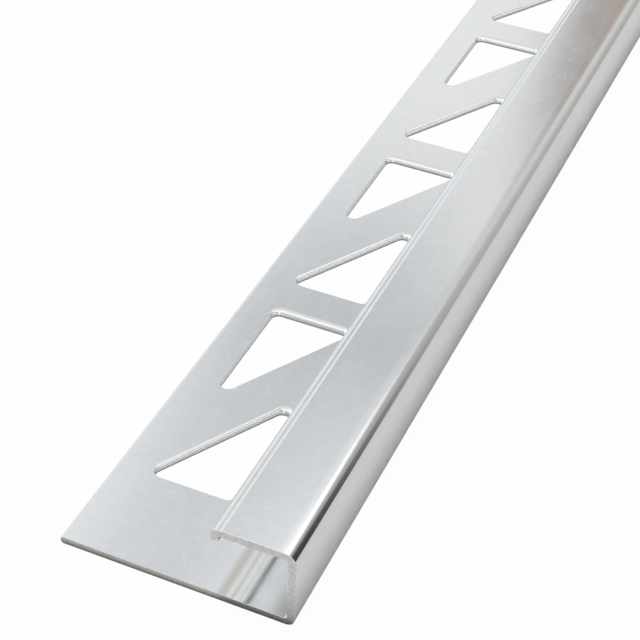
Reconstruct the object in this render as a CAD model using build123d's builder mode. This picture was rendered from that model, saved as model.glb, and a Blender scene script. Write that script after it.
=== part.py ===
from build123d import *
from math import degrees
import os

# Square edge tile trim in one piece of aluminium. The punched leg lies in the adhesive under
# the tiles, the wall closes the edge of the tiling, and the flange folds back over the leg and
# ends in a lip that the edge of the last tile meets.
# Millimetres. X runs across the trim with the wall on the +X side, Y along it and Z up from
# the underside of the leg. The origin is the middle of the footprint.

# Stock
length = 2500.0
height = 10.9
leg_width = 28.6
leg_thickness = 1.0
wall_thickness = 0.9
flange_thickness = 1.0

# Flange, from the wall's outer face to the face of the lip. Along the lip its top is a ledge,
# a little lower than the rest, with a short ramp up to it. The lip's foot rises inwards.
flange_width = 9.9
lip_width = 1.0
lip_drop = 0.85
lip_rise = 0.12
ledge_depth = 0.12
ledge_width = 1.1
ramp_width = 0.25

# The flange's top bends down to the wall's face in three stages: a slight crown, a shoulder
# and a tighter turn onto the face. Widths are from the face and falls from the top.
crown_width = 1.9
crown_radius = 15.0
shoulder_width = 0.76
shoulder_fall = 0.06
shoulder_radius = 1.4
face_fall = 0.88
face_radius = 0.5

# Rounding of the section's other edges
base_corner_radius = 1.0
inner_corner_radius = 0.3
leg_edge_radius = 0.4
nose_radius = 0.8
lip_outer_radius = 0.45
lip_inner_radius = 0.25

# Punched leg: right-angled triangles in pairs, each the other turned half round. The punch
# leaves their upper rims rolled over. A hole's rounded corners are drawn as short flats.
hole_width = 11.2
hole_length = 19.5
hole_corner_radius = 1.0
hole_flat_turn = 30.0
rim_roll = 0.3
hole_margin = 4.5
hole_band = 10.45
pair_length = 33.9
pitch = 40.0
end_margin = 13.05

# Places worked out from the sizes
side = leg_width / 2
wall_inside = side - wall_thickness
flange_underside = height - flange_thickness
lip_face = side - flange_width
lip_inside = lip_face + lip_width
lip_underside = flange_underside - lip_drop
ledge_top = height - ledge_depth
ramp_foot = lip_face + ledge_width
ramp_head = ramp_foot + ramp_width
band_middle = -side + hole_margin + hole_band / 2
pairs = int((length - 2 * end_margin - pair_length) / pitch) + 1

# The corners of the section, each with its radius, from the leg's free edge round the outside
section_corners = [
    ((-side, 0), leg_edge_radius),
    ((side, 0), base_corner_radius),
    ((side, height - face_fall), face_radius),
    ((side - shoulder_width, height - shoulder_fall), shoulder_radius),
    ((side - crown_width, height), crown_radius),
    ((ramp_head, height), ramp_width),
    ((ramp_foot, ledge_top), ramp_width),
    ((lip_face, ledge_top), nose_radius),
    ((lip_face, lip_underside), lip_outer_radius),
    ((lip_inside, lip_underside + lip_rise), lip_inner_radius),
    ((lip_inside, flange_underside), 0),
    ((wall_inside, flange_underside), inner_corner_radius),
    ((wall_inside, leg_thickness), inner_corner_radius),
    ((-side, leg_thickness), leg_edge_radius),
]


def in_flats(edge):
    """The start of each flat that a rim's edge is drawn with: one for a straight edge."""
    flats = 1
    if edge.geom_type == GeomType.CIRCLE:
        flats = max(1, round(degrees(edge.length / edge.radius) / hole_flat_turn))
    return [edge @ (step / flats) for step in range(flats)]


# One hole, drawn about the middle of its pair, with its right angle towards the wall and the
# near end of the trim
with BuildSketch() as hole:
    with BuildLine():
        rim = FilletPolyline(
            (hole_band / 2, -pair_length / 2),
            (hole_band / 2, -pair_length / 2 + hole_length),
            (hole_band / 2 - hole_width, -pair_length / 2),
            radius=hole_corner_radius,
            close=True,
            mode=Mode.PRIVATE,
        )
        Polyline(*[point for edge in rim.edges() for point in in_flats(edge)], close=True)
    make_face()

# What the punch takes out for one pair: straight through, and flaring at the rolled rim
with BuildPart() as punched_pair:
    with BuildSketch(Plane.XY.offset(leg_thickness - rim_roll)) as rim_foot:
        with PolarLocations(0, 2):
            add(hole.sketch)
    extrude(amount=rim_roll - leg_thickness)
    extrude(rim_foot.sketch, amount=rim_roll, taper=-45)

with BuildPart() as edge_trim:
    # The section, run out to the stock length
    with BuildSketch(Plane.XZ) as section:
        with BuildLine():
            FilletPolyline(
                *[point for point, radius in section_corners],
                radius=[radius for point, radius in section_corners],
                close=True,
            )
        make_face()
    extrude(amount=length / 2, both=True)

    # The pairs of holes, repeated along the leg with the same plain margin at both ends
    with Locations((band_middle, 0)):
        with GridLocations(0, pitch, 1, pairs):
            add(punched_pair.part, mode=Mode.SUBTRACT)

os.makedirs("parts", exist_ok=True)
edge_trim.part.label = "edge_trim"
export_step(edge_trim.part, "parts/edge_trim.step")
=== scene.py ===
from math import atan, cos, pi, radians, sin, tan

import bmesh
import bpy
from mathutils import Matrix, Vector


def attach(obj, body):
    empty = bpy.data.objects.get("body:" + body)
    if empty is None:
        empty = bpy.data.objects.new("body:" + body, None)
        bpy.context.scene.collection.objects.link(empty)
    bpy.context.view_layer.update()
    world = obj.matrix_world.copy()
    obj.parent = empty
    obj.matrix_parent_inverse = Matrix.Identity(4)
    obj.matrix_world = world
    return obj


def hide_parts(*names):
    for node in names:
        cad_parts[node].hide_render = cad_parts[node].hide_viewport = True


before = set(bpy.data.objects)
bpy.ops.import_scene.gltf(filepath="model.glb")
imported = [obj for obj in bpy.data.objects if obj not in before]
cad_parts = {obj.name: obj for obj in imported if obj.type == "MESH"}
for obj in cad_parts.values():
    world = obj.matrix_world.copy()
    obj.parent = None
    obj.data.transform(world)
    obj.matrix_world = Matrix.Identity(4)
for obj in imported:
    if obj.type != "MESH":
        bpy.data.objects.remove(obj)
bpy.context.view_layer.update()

# Square edge tile trim: one length of bright aluminium with a punched leg, a closing wall and
# a flange folded back over the leg to a lip. X runs across the trim with the wall on the +X
# side, Y along it and Z up from the leg's underside. Sizes are millimetres, and MM turns them
# to metres where a mesh or a material is made.
MM = 0.001

# Stock
LENGTH = 2500.0
HEIGHT = 10.9
LEG_WIDTH = 28.6
LEG_THICKNESS = 1.0
WALL_THICKNESS = 0.9
FLANGE_THICKNESS = 1.0
SIDE = LEG_WIDTH / 2
ENDS = (-LENGTH / 2, LENGTH / 2)

# Flange and lip. Along the lip the flange's top is a ledge with a short ramp up from it.
FLANGE_WIDTH = 9.9
LIP_WIDTH = 1.0
LIP_DROP = 0.85
LIP_RISE = 0.12
LEDGE_DEPTH = 0.12
LEDGE_WIDTH = 1.1
RAMP_WIDTH = 0.25

# The flange's top bends down to the wall's face over a slight crown and a shoulder
CROWN_WIDTH = 1.9
SHOULDER_WIDTH = 0.76
SHOULDER_FALL = 0.06
FACE_FALL = 0.88

# Rounding
BASE_RADIUS = 1.0
FACE_RADIUS = 0.5
SHOULDER_RADIUS = 1.4
CROWN_RADIUS = 15.0
INNER_RADIUS = 0.3
LEG_EDGE_RADIUS = 0.4
NOSE_RADIUS = 0.8
LIP_OUTER_RADIUS = 0.45
LIP_INNER_RADIUS = 0.25
SAWN_EDGE = 0.03
ARC_STEPS = 8

# Under the flange the leg's top steps down a trace towards the wall
STEP_LEFT = 6.1
STEP_RIGHT = 7.2
STEP_DEPTH = 0.06
STEP_RADIUS = 10.0

# Beside that step, under the flange, painted shade darkens a band along the leg's top where the
# flange's shadow falls: on its left and on its right, the place where the leg is still unshaded
# and the place where the painted shade is full
PAINTED_SHADE_SIDES = ((4.6, 5.7), (7.0, 6.0))
OVER_THE_LEG = LEG_THICKNESS + 0.01

# Punched leg: right-angled triangles in pairs, the second of them turned half round
HOLE_WIDTH = 11.2
HOLE_LENGTH = 19.5
HOLE_CORNER_RADIUS = 1.0
HOLE_MARGIN = 4.5
HOLE_BAND = 10.45
PAIR_LENGTH = 33.9
PITCH = 40.0
END_MARGIN = 13.05
PAIRS = 62
FIRST_PAIR = ENDS[0] + END_MARGIN + PAIR_LENGTH / 2

# The punch rolls every rim over by the least roll, and a rim that faces the near end of the
# stock by the extra width and depth too. The lead is the power by which the roll starts
# slowly. The foot of the rim is torn and ends in a rounded burr.
ROLL_LEAST = 0.12
ROLL_EXTRA_WIDTH = 0.62
ROLL_EXTRA_DEPTH = 0.55
ROLL_LEAD = 2.9
TORN_HEIGHT = 0.3
BURR_RADIUS = 0.1

# The finishes, in the order of the trim's material slots
BRIGHT, SHEARED, TORN, SAWN = range(4)

# Corners of faces that agree to this many decimals of a millimetre are one corner, and an edge
# is sharp where the normals of its two faces differ by more than the tolerance
PLACE_DECIMALS = 4
NORMAL_TOLERANCE = 0.01

# Where the photograph was taken from, in millimetres and degrees, with the lens in millimetres
# on its sensor. The clip distances are metres.
CAMERA_PLACE = (59.55, -1357.48, 137.75)
CAMERA_AIM = (-4.04, -1201.34, 0.0)
CAMERA_ROLL = 2.465
CAMERA_LENS = 93.536
SENSOR_WIDTH = 36.0
CLIP_NEAR, CLIP_FAR = 0.01, 50.0

# The softbox and the floor, in millimetres and watts. The floor lies clear of the leg.
SOFTBOX_SIZE = (350.0, 560.0)
SOFTBOX_PLACE = (-135.0, -980.0, 1400.0)
SOFTBOX_POWER = 14.0
FLOOR_HALF_WIDTH = 6000.0
FLOOR_GAP = 0.02
FLOOR_SEEN_WHITE = 0.97
FLOOR_MIRRORED_WHITE = 0.04
ROOM_ON_MATT = 0.2

# The studio's walls as the metal mirrors them: degrees up, lightness, tint. 1 is white.
DEGREES_OVERHEAD = 90.0
COOL, PLAIN, WARM = (0.97, 1.0, 1.03), (1.0, 1.0, 1.0), (1.03, 1.0, 0.93)
FAR_WALL = (
    (24, 0.84, PLAIN), (31, 0.92, PLAIN), (34.5, 0.87, PLAIN), (37, 0.75, PLAIN),
    (40.4, 0.50, COOL), (42.8, 0.68, COOL), (46, 0.76, COOL), (49, 0.86, PLAIN),
    (60, 0.88, PLAIN))
FAR_WALL_LEFT = (
    (24, 0.84, PLAIN), (31, 0.84, PLAIN), (34, 0.76, PLAIN), (37, 0.59, COOL),
    (39.4, 0.50, COOL), (42, 0.60, COOL), (46, 0.62, COOL), (60, 0.80, PLAIN))
RIGHT_WALL = (
    (6, 0.42, WARM), (12, 0.47, WARM), (16, 0.50, WARM), (21, 0.55, WARM),
    (26, 0.60, PLAIN), (31, 0.63, PLAIN), (36, 0.61, PLAIN), (41, 0.60, PLAIN),
    (60, 0.62, PLAIN))

# How far three of the studio's edges lean to the left, in degrees for each degree up
LEFT_ROOM_LEAN, STRIP_LEAN, SHADE_LEAN = 0.8, 0.3, 0.68

# The lightness of the studio's other parts, in linear red, green and blue
LEFT_ROOM = (0.81, 0.83, 0.85, 1)
LEFT_CORNER = (0.86, 0.845, 0.82, 1)
WINDOW_SIDE = (1.15, 1.14, 1.12, 1)
GREY_STRIP = (0.31, 0.31, 0.30, 1)
REDDISH_WOOD = (0.42, 0.33, 0.29, 1)
SHADED_WALL = (0.42, 0.415, 0.405, 1)
DARK_OPENING = (0.05, 0.045, 0.04, 1)
BELOW_THE_SILL = (0.4, 0.4, 0.39, 1)
WINDOW = (1.08, 1.08, 1.06, 1)
CEILING = (1.15, 1.14, 1.12, 1)
OVERHEAD = (0.66, 0.67, 0.68, 1)
WHITE = (1, 1, 1, 1)


def linear(hex_colour):
    """The linear colour of an sRGB hex value."""
    parts = [int(hex_colour[i:i + 2], 16) / 255 for i in (1, 3, 5)]
    return [p / 12.92 if p <= 0.04045 else ((p + 0.055) / 1.055) ** 2.4 for p in parts] + [1.0]


def per_metre(size):
    """The scale of a pattern whose marks are this many millimetres apart."""
    return 1 / (size * MM)


def node(tree, kind, inputs=None, **settings):
    """A new node with its settings, and each input linked to a socket or set to a value."""
    made = tree.nodes.new(kind)
    for name, value in settings.items():
        setattr(made, name, value)
    for name, value in (inputs or {}).items():
        if isinstance(value, bpy.types.NodeSocket):
            tree.links.new(value, made.inputs[name])
        else:
            made.inputs[name].default_value = value
    return made


def put_in_scene(name, data):
    """A new object that holds a mesh, a lamp or a camera."""
    made = bpy.data.objects.new(name, data)
    bpy.context.scene.collection.objects.link(made)
    return made


def rounded_outline(corners):
    """A closed outline as (x, y, normal x, normal y). Each corner is ((x, y), radius), and the
    normal points to the right of the way round."""
    outline = []
    for i, ((x, y), radius) in enumerate(corners):
        before, after = corners[i - 1][0], corners[(i + 1) % len(corners)][0]
        heading_in = Vector((x - before[0], y - before[1])).normalized()
        heading_out = Vector((after[0] - x, after[1] - y)).normalized()
        turn = heading_in.angle_signed(heading_out) * -1
        start = Vector((x, y)) - heading_in * radius * tan(abs(turn) / 2)
        hand = 1 if turn > 0 else -1
        centre = start + Vector((-heading_in.y, heading_in.x)) * radius * hand
        # A corner with no radius is two points in one place, with a normal for each side
        steps = ARC_STEPS if radius else 1
        for k in range(steps + 1):
            heading = Matrix.Rotation(turn * k / steps, 2) @ heading_in
            normal = Vector((heading.y, -heading.x))
            place = centre + normal * radius * hand
            outline.append((place.x, place.y, normal.x, normal.y))
    return outline


def trim_section():
    """The trim's section, counterclockwise from the leg's free edge, with its normals."""
    wall_inside = SIDE - WALL_THICKNESS
    flange_underside = HEIGHT - FLANGE_THICKNESS
    lip_face = SIDE - FLANGE_WIDTH
    lip_inside = lip_face + LIP_WIDTH
    lip_underside = flange_underside - LIP_DROP
    ledge_top = HEIGHT - LEDGE_DEPTH
    ramp_foot = lip_face + LEDGE_WIDTH
    ramp_head = ramp_foot + RAMP_WIDTH
    return rounded_outline([
        ((-SIDE, 0), LEG_EDGE_RADIUS),
        ((SIDE, 0), BASE_RADIUS),
        ((SIDE, HEIGHT - FACE_FALL), FACE_RADIUS),
        ((SIDE - SHOULDER_WIDTH, HEIGHT - SHOULDER_FALL), SHOULDER_RADIUS),
        ((SIDE - CROWN_WIDTH, HEIGHT), CROWN_RADIUS),
        ((ramp_head, HEIGHT), RAMP_WIDTH),
        ((ramp_foot, ledge_top), RAMP_WIDTH),
        ((lip_face, ledge_top), NOSE_RADIUS),
        ((lip_face, lip_underside), LIP_OUTER_RADIUS),
        ((lip_inside, lip_underside + LIP_RISE), LIP_INNER_RADIUS),
        ((lip_inside, flange_underside), 0),
        ((wall_inside, flange_underside), INNER_RADIUS),
        ((wall_inside, LEG_THICKNESS - STEP_DEPTH), INNER_RADIUS),
        ((STEP_RIGHT, LEG_THICKNESS - STEP_DEPTH), STEP_RADIUS),
        ((STEP_LEFT, LEG_THICKNESS), STEP_RADIUS),
        ((-SIDE, LEG_THICKNESS), LEG_EDGE_RADIUS),
    ])


def hole_outline(way):
    """One hole of a pair, about the pair's middle, with way -1 for the one that is turned half
    round. It runs clockwise, so that its normals point into the hole."""
    middle = -SIDE + HOLE_MARGIN + HOLE_BAND / 2
    right, near = HOLE_BAND / 2, -PAIR_LENGTH / 2
    corners = [(right, near), (right - HOLE_WIDTH, near), (right, near + HOLE_LENGTH)]
    return rounded_outline([((middle + way * x, way * y), HOLE_CORNER_RADIUS) for x, y in corners])


def rim_roll(ny):
    """The width and the depth by which the punch has rolled a rim over, from the normal of the
    rim along the trim: -1 faces the near end of the stock."""
    to_near_end = max(0, -ny)
    return ROLL_LEAST + ROLL_EXTRA_WIDTH * to_near_end, ROLL_LEAST + ROLL_EXTRA_DEPTH * to_near_end


def rim_profile(ny):
    """A rim in three parts from the leg's top down, rolled, sheared and torn. Each is a list of
    (way into the hole, height, level part of the normal, upright part)."""
    width, depth = rim_roll(ny)
    rolled = []
    for k in range(ARC_STEPS + 1):
        across = k / ARC_STEPS
        rolled.append((width * (across - 1), LEG_THICKNESS - depth * across ** ROLL_LEAD,
                       depth * ROLL_LEAD * across ** (ROLL_LEAD - 1), width))
    sheared = [(0, LEG_THICKNESS - depth, 1, 0), (0, TORN_HEIGHT, 1, 0)]
    torn = [(0, TORN_HEIGHT, 1, 0)]
    for turn in (0, pi / 4, pi / 2):
        torn.append((BURR_RADIUS * (cos(turn) - 1), BURR_RADIUS * (1 - sin(turn)),
                     cos(turn), -sin(turn)))
    return rolled, sheared, torn


class MeshWriter:
    """Gathers faces with a normal for each of their corners, joining corners that meet."""

    def __init__(self):
        self.places, self.known, self.faces, self.normals, self.finishes = [], {}, [], [], []

    def face(self, corners, finish):
        """One face of (place, normal) corners, left out where its corners leave no area."""
        loop = []
        for place, normal in corners:
            key = tuple(round(v, PLACE_DECIMALS) for v in place)
            if key not in self.known:
                self.known[key] = len(self.places)
                self.places.append(place)
            loop.append((self.known[key], normal))
        kept = [corner for i, corner in enumerate(loop) if corner[0] != loop[i - 1][0]]
        if len(kept) > 2:
            self.faces.append([index for index, normal in kept])
            self.normals.extend(normal for index, normal in kept)
            self.finishes.append(finish)

    def strip(self, first, second, finish):
        """Quads between two rows of (place, normal), which run the same way."""
        for i in range(len(first) - 1):
            self.face([first[i], first[i + 1], second[i + 1], second[i]], finish)

    def piece(self, name, materials):
        """The gathered faces as one object."""
        mesh = bpy.data.meshes.new(name)
        mesh.from_pydata([[v * MM for v in place] for place in self.places], [], self.faces)
        mesh.polygons.foreach_set("use_smooth", [True] * len(self.faces))
        mesh.polygons.foreach_set("material_index", self.finishes)
        for material in materials:
            mesh.materials.append(material)
        normals = [Vector(normal).normalized() for normal in self.normals]
        # The two normals at each edge, once for every face beside it
        beside, corner = {}, 0
        for loop in self.faces:
            for i, index in enumerate(loop):
                after = (i + 1) % len(loop)
                ends = {index: normals[corner + i], loop[after]: normals[corner + after]}
                beside.setdefault(frozenset(ends), []).append(ends)
            corner += len(loop)
        for edge in mesh.edges:
            first, *others = beside[frozenset(edge.vertices)]
            edge.use_edge_sharp = any(
                (first[v] - other[v]).length > NORMAL_TOLERANCE for other in others for v in first)
        mesh.normals_split_custom_set(normals)
        mesh.update()
        return put_in_scene(name, mesh)


def plate_triangles(left, right, rims):
    """Fills one pitch of the leg between its sides and the rims of its holes, with triangles of
    (x, y) corners."""
    near, far = -PITCH / 2, PITCH / 2
    plate = bmesh.new()
    for loop in [[(left, near), (right, near), (right, far), (left, far)]] + rims:
        made = [plate.verts.new((x, y, 0)) for x, y in loop]
        for i, vert in enumerate(made):
            plate.edges.new((made[i - 1], vert))
    bmesh.ops.triangle_fill(plate, edges=plate.edges[:], use_beauty=True, normal=(0, 0, 1))
    triangles = []
    for face in plate.faces:
        corners = [(v.co.x, v.co.y) for v in face.verts]
        triangles.append(corners if face.normal.z > 0 else corners[::-1])
    plate.free()
    return triangles


def write_runs(writer, section, stations):
    """Everything in the section but the leg's two flat faces, run from station to station."""
    for i, (x, z, nx, nz) in enumerate(section):
        x2, z2, nx2, nz2 = section[(i + 1) % len(section)]
        on_the_leg = abs(x2 - x) > LEG_WIDTH / 2
        if on_the_leg:
            continue
        here, there = (nx, 0, nz), (nx2, 0, nz2)
        for near, far in zip(stations, stations[1:]):
            writer.face([((x, far, z), here), ((x2, far, z2), there),
                         ((x2, near, z2), there), ((x, near, z), here)], BRIGHT)


def write_leg(writer, leg_faces, stations):
    """The leg's flat faces, each a (left, right, height, normal), with their pairs of holes, and
    plain at both ends of the stock."""
    (left, top_right, top_height, up), (left, base_right, base_height, down) = leg_faces
    holes = [hole_outline(way) for way in (1, -1)]
    rims = [[(x - nx * rim_roll(ny)[0], y - ny * rim_roll(ny)[0]) for x, y, nx, ny in hole]
            for hole in holes]
    foot_rims = [[(x - nx * BURR_RADIUS, y - ny * BURR_RADIUS) for x, y, nx, ny in hole]
                 for hole in holes]
    top = plate_triangles(left, top_right, rims)
    foot = plate_triangles(left, base_right, foot_rims)
    for k in range(PAIRS):
        middle = FIRST_PAIR + k * PITCH
        for triangle in top:
            writer.face([((x, y + middle, top_height), up) for x, y in triangle], BRIGHT)
        for triangle in foot:
            writer.face(
                [((x, y + middle, base_height), down) for x, y in triangle[::-1]], BRIGHT)
        for hole in holes:
            # The roll is as burnished as the shear below it
            for part, finish in enumerate((SHEARED, SHEARED, TORN)):
                ribs = []
                for x, y, nx, ny in hole + hole[:1]:
                    ribs.append([((x + nx * into, y + ny * into + middle, height),
                                  (nx * level, ny * level, upright))
                                 for into, height, level, upright in rim_profile(ny)[part]])
                for near, far in zip(ribs, ribs[1:]):
                    writer.strip(near, far, finish)
    for near, far in (stations[:2], stations[-2:]):
        for left, right, height, normal in leg_faces:
            quad = [((left, near, height), normal), ((right, near, height), normal),
                    ((right, far, height), normal), ((left, far, height), normal)]
            writer.face(quad if normal is up else quad[::-1], BRIGHT)


def write_sawn_ends(writer, section, stations):
    """The two sawn faces, with the edge round each of them broken."""
    for end, station, outward in ((ENDS[0], stations[0], -1), (ENDS[1], stations[-1], 1)):
        cut, edge = [], []
        for x, z, nx, nz in section:
            slant = (nx, outward, nz)
            cut.append(((x - nx * SAWN_EDGE, end, z - nz * SAWN_EDGE), slant))
            edge.append(((x, station, z), slant))
        sawn_face = [(place, (0, outward, 0)) for place, slant in cut]
        writer.face(sawn_face if outward < 0 else sawn_face[::-1], SAWN)
        cut.append(cut[0])
        edge.append(edge[0])
        if outward < 0:
            writer.strip(edge, cut, SAWN)
        else:
            writer.strip(cut, edge, SAWN)


def build_trim(materials):
    """The whole length of stock, cut into stations at the ends and between the pairs of holes."""
    writer = MeshWriter()
    section = trim_section()
    between_pairs = [FIRST_PAIR + (k - 0.5) * PITCH for k in range(PAIRS + 1)]
    stations = [ENDS[0] + SAWN_EDGE] + between_pairs + [ENDS[1] - SAWN_EDGE]
    left = -SIDE + LEG_EDGE_RADIUS
    step_slope = atan(STEP_DEPTH / (STEP_RIGHT - STEP_LEFT))
    leg_faces = ((left, STEP_LEFT - STEP_RADIUS * tan(step_slope / 2), LEG_THICKNESS, (0, 0, 1)),
                 (left, SIDE - BASE_RADIUS, 0, (0, 0, -1)))
    write_runs(writer, section, stations)
    write_leg(writer, leg_faces, stations)
    write_sawn_ends(writer, section, stations)
    return writer.piece("tile_edge_trim", materials)


def new_material(name):
    """An empty material and its node tree."""
    material = bpy.data.materials.new(name)
    material.use_nodes = True
    material.node_tree.nodes.clear()
    return material, material.node_tree


def bright_extruded_aluminium():
    """Bright natural aluminium, extruded and polished: a near mirror with a faint mottled haze,
    and here and there a dull speck that catches the light."""
    material, tree = new_material("bright_extruded_aluminium")
    place = node(tree, "ShaderNodeTexCoord").outputs["Object"]

    # Haze in patches of 3 by 6 mm, as the polishing mop leaves it, and mottling of 1 mm
    stretched = node(tree, "ShaderNodeMapping", {
        "Vector": place, "Scale": (per_metre(3.03), per_metre(6.25), per_metre(3.03))})
    haze = node(tree, "ShaderNodeTexNoise", {
        "Vector": stretched.outputs["Vector"], "Scale": 1.0, "Detail": 4.0, "Roughness": 0.6})
    mottle = node(tree, "ShaderNodeTexNoise", {
        "Vector": place, "Scale": per_metre(1.111), "Detail": 4.0, "Roughness": 0.65})
    uneven = node(tree, "ShaderNodeMapRange", {
        "Value": mottle.outputs["Fac"], "From Min": 0.35, "From Max": 0.65})
    polished = node(tree, "ShaderNodeMix", {
        0: haze.outputs["Fac"], 6: linear("#F5F7F8"), 7: linear("#FCFDFD")}, data_type="RGBA")
    mottled = node(tree, "ShaderNodeMix", {
        0: uneven.outputs["Result"], 6: linear("#F4F6F7"), 7: polished.outputs[2]},
        data_type="RGBA")

    # Painted shade: a darker band on the leg's top under the flange, where its shadow falls
    across = node(tree, "ShaderNodeSeparateXYZ", {"Vector": place})
    painted_shade = node(tree, "ShaderNodeMath", {
        0: across.outputs["Z"], 1: OVER_THE_LEG * MM}, operation="LESS_THAN").outputs[0]
    for clean, full in PAINTED_SHADE_SIDES:
        begun = node(tree, "ShaderNodeMapRange", {
            "Value": across.outputs["X"], "From Min": clean * MM, "From Max": full * MM},
            interpolation_type="SMOOTHSTEP")
        painted_shade = node(tree, "ShaderNodeMath", {
            0: painted_shade, 1: begun.outputs["Result"]}, operation="MULTIPLY").outputs[0]
    colour = node(tree, "ShaderNodeMix", {
        0: painted_shade, 6: mottled.outputs[2], 7: linear("#D8D5D0")}, data_type="RGBA")

    # Specks of 0.2 mm, in half of the cells of 0.9 mm, gathered in patches of 15 mm
    cells = node(tree, "ShaderNodeTexVoronoi", {"Vector": place, "Scale": per_metre(0.909)})
    speck = node(tree, "ShaderNodeMapRange", {
        "Value": cells.outputs["Distance"], "From Min": 0.22, "From Max": 0.08})
    chance = node(tree, "ShaderNodeSeparateColor", {"Color": cells.outputs["Color"]})
    chosen = node(tree, "ShaderNodeMath", {
        0: chance.outputs["Red"], 1: 0.5}, operation="GREATER_THAN")
    patches = node(tree, "ShaderNodeTexNoise", {
        "Vector": place, "Scale": per_metre(15.38), "Detail": 1.0})
    gathered = node(tree, "ShaderNodeMapRange", {
        "Value": patches.outputs["Fac"], "From Min": 0.42, "From Max": 0.55})
    thinned = node(tree, "ShaderNodeMath", {
        0: speck.outputs["Result"], 1: chosen.outputs[0]}, operation="MULTIPLY")
    dull = node(tree, "ShaderNodeMath", {
        0: thinned.outputs[0], 1: gathered.outputs["Result"]}, operation="MULTIPLY")
    hazy = node(tree, "ShaderNodeMapRange", {
        "Value": haze.outputs["Fac"], "From Min": 0.3, "From Max": 0.7,
        "To Min": 0.11, "To Max": 0.14})
    rough = node(tree, "ShaderNodeMath", {
        0: dull.outputs[0], 1: 0.15, 2: hazy.outputs["Result"]}, operation="MULTIPLY_ADD")

    # Die lines 0.15 mm apart, each unbroken for about 60 mm, so shallow that they only soften
    # what the metal mirrors
    drawn_out = node(tree, "ShaderNodeMapping", {
        "Vector": place, "Scale": (per_metre(0.1538), per_metre(62.5), per_metre(0.1538))})
    lines = node(tree, "ShaderNodeTexNoise", {
        "Vector": drawn_out.outputs["Vector"], "Scale": 1.0, "Detail": 2.0, "Roughness": 0.5})
    bump = node(tree, "ShaderNodeBump", {
        "Height": lines.outputs["Fac"], "Strength": 0.03, "Distance": 0.01 * MM})

    shader = node(tree, "ShaderNodeBsdfPrincipled", {
        "Base Color": colour.outputs[2], "Metallic": 1.0, "Roughness": rough.outputs[0],
        "Normal": bump.outputs["Normal"]})
    node(tree, "ShaderNodeOutputMaterial", {"Surface": shader.outputs["BSDF"]})
    return material


def sheared_aluminium():
    """The rims of the punched holes, burnished by the punch: still bright, with softer
    reflections in short upright drag marks."""
    material, tree = new_material("sheared_aluminium")
    place = node(tree, "ShaderNodeTexCoord").outputs["Object"]
    # Drag marks 0.25 mm apart, longer than the rim is high
    dragged = node(tree, "ShaderNodeMapping", {
        "Vector": place, "Scale": (per_metre(0.25), per_metre(0.25), per_metre(2.5))})
    marks = node(tree, "ShaderNodeTexNoise", {
        "Vector": dragged.outputs["Vector"], "Scale": 1.0, "Detail": 3.0})
    rough = node(tree, "ShaderNodeMapRange", {
        "Value": marks.outputs["Fac"], "To Min": 0.20, "To Max": 0.27})
    shader = node(tree, "ShaderNodeBsdfPrincipled", {
        "Base Color": linear("#F4F5F6"), "Metallic": 1.0, "Roughness": rough.outputs["Result"]})
    node(tree, "ShaderNodeOutputMaterial", {"Surface": shader.outputs["BSDF"]})
    return material


def torn_aluminium():
    """The foot of the rims, where the slug tore away from the punch's cut: grey and grainy, so
    that each hole has a fine dark line at its foot."""
    material, tree = new_material("torn_aluminium")
    place = node(tree, "ShaderNodeTexCoord").outputs["Object"]
    # Grains of 0.12 mm
    grains = node(tree, "ShaderNodeTexNoise", {
        "Vector": place, "Scale": per_metre(0.125), "Detail": 2.0})
    colour = node(tree, "ShaderNodeMix", {
        0: grains.outputs["Fac"], 6: linear("#9A9B9C"), 7: linear("#C4C5C6")}, data_type="RGBA")
    rough = node(tree, "ShaderNodeMapRange", {
        "Value": grains.outputs["Fac"], "To Min": 0.35, "To Max": 0.55})
    bump = node(tree, "ShaderNodeBump", {
        "Height": grains.outputs["Fac"], "Strength": 0.05, "Distance": 0.004 * MM})
    shader = node(tree, "ShaderNodeBsdfPrincipled", {
        "Base Color": colour.outputs[2], "Metallic": 1.0, "Roughness": rough.outputs["Result"],
        "Normal": bump.outputs["Normal"]})
    node(tree, "ShaderNodeOutputMaterial", {"Surface": shader.outputs["BSDF"]})
    return material


def sawn_aluminium():
    """The sawn ends: a soft grain of tooth marks, bright on the flange and the wall, with painted
    shade that darkens them towards the underside, where the floor's contact shadow falls."""
    material, tree = new_material("sawn_aluminium")
    place = node(tree, "ShaderNodeTexCoord").outputs["Object"]
    # Tooth marks of 0.3 mm
    marks = node(tree, "ShaderNodeTexNoise", {
        "Vector": place, "Scale": per_metre(0.2857), "Detail": 3.0, "Roughness": 0.6})
    grain = node(tree, "ShaderNodeMapRange", {
        "Value": marks.outputs["Fac"], "From Min": 0.35, "From Max": 0.65})
    fresh = node(tree, "ShaderNodeMix", {
        0: grain.outputs["Result"], 6: linear("#E0DFDC"), 7: linear("#FFFFFD")}, data_type="RGBA")
    # Painted shade: the colour darkens from 1.4 mm down to 0.1 mm above the underside
    height = node(tree, "ShaderNodeSeparateXYZ", {"Vector": place}).outputs["Z"]
    unshaded_share = node(tree, "ShaderNodeMapRange", {
        "Value": height, "From Min": 0.1 * MM, "From Max": 1.4 * MM},
        interpolation_type="SMOOTHSTEP")
    colour = node(tree, "ShaderNodeMix", {
        0: unshaded_share.outputs["Result"], 6: linear("#A3A19D"), 7: fresh.outputs[2]}, data_type="RGBA")
    rough = node(tree, "ShaderNodeMapRange", {
        "Value": marks.outputs["Fac"], "To Min": 0.18, "To Max": 0.30})
    bump = node(tree, "ShaderNodeBump", {
        "Height": marks.outputs["Fac"], "Strength": 0.4, "Distance": 0.04 * MM})
    shader = node(tree, "ShaderNodeBsdfPrincipled", {
        "Base Color": colour.outputs[2], "Metallic": 1.0, "Roughness": rough.outputs["Result"],
        "Normal": bump.outputs["Normal"]})
    node(tree, "ShaderNodeOutputMaterial", {"Surface": shader.outputs["BSDF"]})
    return material


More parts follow.
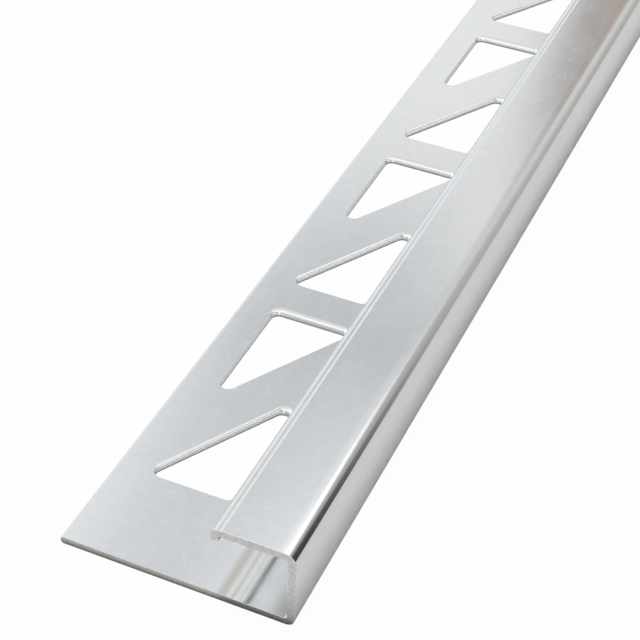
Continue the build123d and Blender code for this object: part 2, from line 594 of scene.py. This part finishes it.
def draw_studio(tree):
    """What the metal mirrors: a soft studio drawn in degrees, by its bearing to the left of the
    way along the trim, and by its height above the floor."""
    direction = node(tree, "ShaderNodeSeparateXYZ", {
        "Vector": node(tree, "ShaderNodeTexCoord").outputs["Generated"]})
    leftward = node(tree, "ShaderNodeMath", {
        0: direction.outputs["X"], 1: -1.0}, operation="MULTIPLY")
    turn = node(tree, "ShaderNodeMath", {
        0: leftward.outputs[0], 1: direction.outputs["Y"]}, operation="ARCTAN2")
    rise = node(tree, "ShaderNodeMath", {0: direction.outputs["Z"]}, operation="ARCSINE")
    bearing, height = [
        node(tree, "ShaderNodeMath", {0: angle.outputs[0]}, operation="DEGREES").outputs[0]
        for angle in (turn, rise)]

    # Bearings taken along a leaning edge instead of an upright one
    left_edge, strip_edge, shade_edge = [
        node(tree, "ShaderNodeMath", {0: height, 1: -lean, 2: bearing},
             operation="MULTIPLY_ADD").outputs[0]
        for lean in (LEFT_ROOM_LEAN, STRIP_LEAN, SHADE_LEAN)]

    # Each wall is a ramp from the floor's level, 0, to overhead, 1
    share_up = node(tree, "ShaderNodeMath", {
        0: height, 1: DEGREES_OVERHEAD}, operation="DIVIDE").outputs[0]
    walls = []
    for stops in (FAR_WALL, FAR_WALL_LEFT, RIGHT_WALL):
        ramp = node(tree, "ShaderNodeValToRGB", {"Fac": share_up})
        ramp.color_ramp.interpolation = "EASE"
        steps = ramp.color_ramp.elements
        steps[0].position = stops[0][0] / DEGREES_OVERHEAD
        steps[1].position = stops[-1][0] / DEGREES_OVERHEAD
        for degrees_up, lightness, tint in stops[1:-1]:
            steps.new(degrees_up / DEGREES_OVERHEAD)
        for step, (degrees_up, lightness, tint) in zip(steps, stops):
            step.color = [lightness * part for part in tint] + [1]
        walls.append(ramp.outputs["Color"])
    far_wall, far_wall_left, right_wall = walls

    def laid(below, above, *edges):
        """One colour laid over another within the given edges. Each edge is a measure, where
        the upper colour has yet to begin and where it is full."""
        share = 1.0
        for measure, outside, inside in edges:
            begun = node(tree, "ShaderNodeMapRange", {
                "Value": measure, "From Min": outside, "From Max": inside},
                interpolation_type="SMOOTHSTEP")
            share = node(tree, "ShaderNodeMath", {
                0: share, 1: begun.outputs["Result"]}, operation="MULTIPLY").outputs[0]
        return node(tree, "ShaderNodeMix", {
            0: share, 6: below, 7: above}, data_type="RGBA").outputs[2]

    # The far wall is pale, with a dim rail at 40 degrees, and dimmer on its left. The wall on
    # its right is dimmer still, and the room brightens to the left.
    room = laid(far_wall, far_wall_left, (left_edge, -13.7, -10.7))
    room = laid(room, right_wall, (bearing, 13.2, 11.0))
    room = laid(room, LEFT_ROOM, (left_edge, -6.7, -3.2), (height, 62.0, 48.0))
    room = laid(room, LEFT_CORNER, (bearing, 40.0, 50.0))
    room = laid(room, WINDOW_SIDE, (bearing, 55.0, 68.0))
    # Where the two walls meet there is a dim grey strip, with reddish wood on its right
    room = laid(room, GREY_STRIP,
                (strip_edge, 5.2, 4.3), (bearing, 6.3, 9.8), (height, 36.5, 29.5))
    room = laid(room, REDDISH_WOOD,
                (bearing, 12.3, 11.6), (bearing, 6.3, 9.8), (height, 35.0, 30.0))
    # Low on the right the wall is in shade, and a dark opening lies beyond it, which gives the
    # edge between flange and wall its dark line
    room = laid(room, SHADED_WALL, (shade_edge, -40.0, -54.0))
    room = laid(room, DARK_OPENING, (bearing, -39.0, -50.0))
    # Behind the camera are windows, dim below their sills: one on the right and one on the left
    for side, sill in (((bearing, -74.0, -84.0), (height, -15.0, 5.0)),
                       ((bearing, 115.0, 135.0), (height, 0.0, 38.0))):
        room = laid(room, laid(BELOW_THE_SILL, WINDOW, sill), side)
    # The ceiling's edge is at 45 degrees ahead, lower on the right and higher on the left
    above_edge = height
    for start, end, low, high in ((-40.0, -10.0, 41.5, 45.4), (11.3, 34.0, 0.0, 15.9)):
        edge = node(tree, "ShaderNodeMapRange", {
            "Value": bearing, "From Min": start, "From Max": end, "To Min": low, "To Max": high})
        above_edge = node(tree, "ShaderNodeMath", {
            0: above_edge, 1: edge.outputs["Result"]}, operation="SUBTRACT").outputs[0]
    room = laid(room, CEILING, (above_edge, -2.0, 2.0))
    # Dimmer overhead, so that the trim stands out from the floor when seen from above
    return laid(room, OVERHEAD, (height, 58.0, 66.0))


def light_studio():
    """The studio round the metal, and a softbox that lays the trim's shadow on the floor."""
    world = bpy.data.worlds.new("studio")
    bpy.context.scene.world = world
    world.use_nodes = True
    tree = world.node_tree
    tree.nodes.clear()
    # The softbox outshines the room on the floor, so the room lights matt surfaces weakly
    paths = node(tree, "ShaderNodeLightPath")
    strength = node(tree, "ShaderNodeMapRange", {
        "Value": paths.outputs["Is Diffuse Ray"], "To Min": 1.0, "To Max": ROOM_ON_MATT})
    lit = node(tree, "ShaderNodeBackground", {
        "Color": draw_studio(tree), "Strength": strength.outputs["Result"]})
    seen = node(tree, "ShaderNodeBackground", {"Color": WHITE, "Strength": 1.0})
    mixed = node(tree, "ShaderNodeMixShader", {
        0: paths.outputs["Is Camera Ray"], 1: lit.outputs[0], 2: seen.outputs[0]})
    node(tree, "ShaderNodeOutputWorld", {"Surface": mixed.outputs[0]})

    lamp = bpy.data.lights.new("softbox", "AREA")
    lamp.shape = "RECTANGLE"
    lamp.size, lamp.size_y = [size * MM for size in SOFTBOX_SIZE]
    lamp.energy = SOFTBOX_POWER
    softbox = put_in_scene("softbox", lamp)
    softbox.location = Vector(SOFTBOX_PLACE) * MM
    softbox.visible_glossy = False


def pale_matt_paper():
    """Pale matt paper, with the faint grain of its pressed fibres. The camera and the metal get
    a share of plain white instead, so that it shows white with a trace of the trim's shadow."""
    material, tree = new_material("pale_matt_paper")
    place = node(tree, "ShaderNodeTexCoord").outputs["Object"]
    # Grain of 1 mm, coarser than real paper so that it shows
    grain = node(tree, "ShaderNodeTexNoise", {
        "Vector": place, "Scale": per_metre(1.111), "Detail": 2.0})
    colour = node(tree, "ShaderNodeMix", {
        0: grain.outputs["Fac"], 6: linear("#CBCBCB"), 7: linear("#D1D1D1")}, data_type="RGBA")
    paper = node(tree, "ShaderNodeBsdfDiffuse", {"Color": colour.outputs[2]})
    white = node(tree, "ShaderNodeEmission", {"Color": WHITE, "Strength": 1.0})
    paths = node(tree, "ShaderNodeLightPath")
    mirrored = node(tree, "ShaderNodeMath", {
        0: paths.outputs["Is Glossy Ray"], 1: paths.outputs["Is Transmission Ray"]},
        operation="ADD")
    to_metal = node(tree, "ShaderNodeMath", {
        0: mirrored.outputs[0], 1: FLOOR_MIRRORED_WHITE}, operation="MULTIPLY")
    share = node(tree, "ShaderNodeMath", {
        0: paths.outputs["Is Camera Ray"], 1: FLOOR_SEEN_WHITE, 2: to_metal.outputs[0]},
        operation="MULTIPLY_ADD")
    mixed = node(tree, "ShaderNodeMixShader", {
        0: share.outputs[0], 1: paper.outputs[0], 2: white.outputs[0]})
    node(tree, "ShaderNodeOutputMaterial", {"Surface": mixed.outputs[0]})
    return material


def lay_floor():
    """A plain pale floor, much wider than the trim is long."""
    sheet = bmesh.new()
    bmesh.ops.create_grid(sheet, x_segments=2, y_segments=2, size=FLOOR_HALF_WIDTH * MM)
    mesh = bpy.data.meshes.new("floor")
    sheet.to_mesh(mesh)
    sheet.free()
    mesh.materials.append(pale_matt_paper())
    floor = put_in_scene("floor", mesh)
    floor.location.z = -FLOOR_GAP * MM


def place_camera():
    """The camera, where the photograph was taken from."""
    data = bpy.data.cameras.new("camera")
    data.lens = CAMERA_LENS
    data.sensor_width = SENSOR_WIDTH
    data.clip_start, data.clip_end = CLIP_NEAR, CLIP_FAR
    camera = put_in_scene("camera", data)
    place, aim = Vector(CAMERA_PLACE) * MM, Vector(CAMERA_AIM) * MM
    look = (aim - place).to_track_quat("-Z", "Y").to_matrix()
    roll = Matrix.Rotation(radians(CAMERA_ROLL), 3, "Z")
    camera.matrix_world = Matrix.Translation(place) @ (look @ roll).to_4x4()
    bpy.context.scene.camera = camera


bpy.context.scene.view_settings.view_transform = "Standard"
place_camera()
light_studio()
lay_floor()
trim = build_trim([
    bright_extruded_aluminium(), sheared_aluminium(), torn_aluminium(), sawn_aluminium()])
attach(trim, "root")
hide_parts("edge_trim")
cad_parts["edge_trim"].data.materials.clear()
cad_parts["edge_trim"].data.materials.append(trim.data.materials[BRIGHT])
